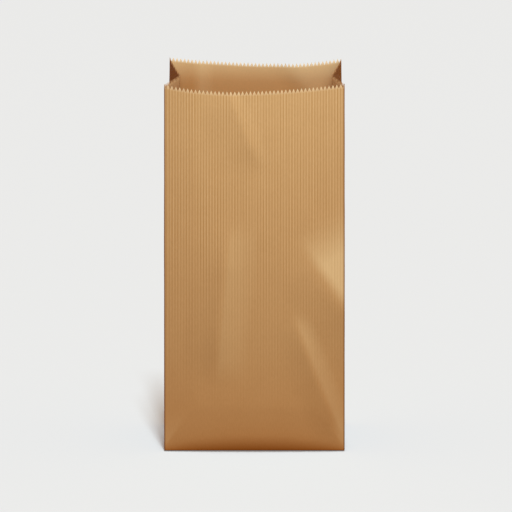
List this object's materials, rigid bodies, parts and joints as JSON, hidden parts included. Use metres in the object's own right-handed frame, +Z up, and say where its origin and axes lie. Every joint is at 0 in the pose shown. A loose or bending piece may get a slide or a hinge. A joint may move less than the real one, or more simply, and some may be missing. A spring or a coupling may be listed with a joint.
{
  "type": "paper lunch bag",
  "caption": "Block-bottom brown kraft paper bag, stood open, with gusseted sides, a serrated rim, soft creases and a glued flat base.",
  "frame": {"origin": "middle of the base, on the surface that the bag stands on", "axes": "+Z up to the open rim, +X to the right across the front panel, -Y out of the plain front panel"},
  "size_m": [0.1302, 0.0932, 0.2737],
  "materials": {
    "kraft_paper": "matt unbleached kraft, faintly ribbed on the outside"
  },
  "bodies": {
    "root": {"paper_bag": "kraft_paper"}
  },
  "joints": []
}
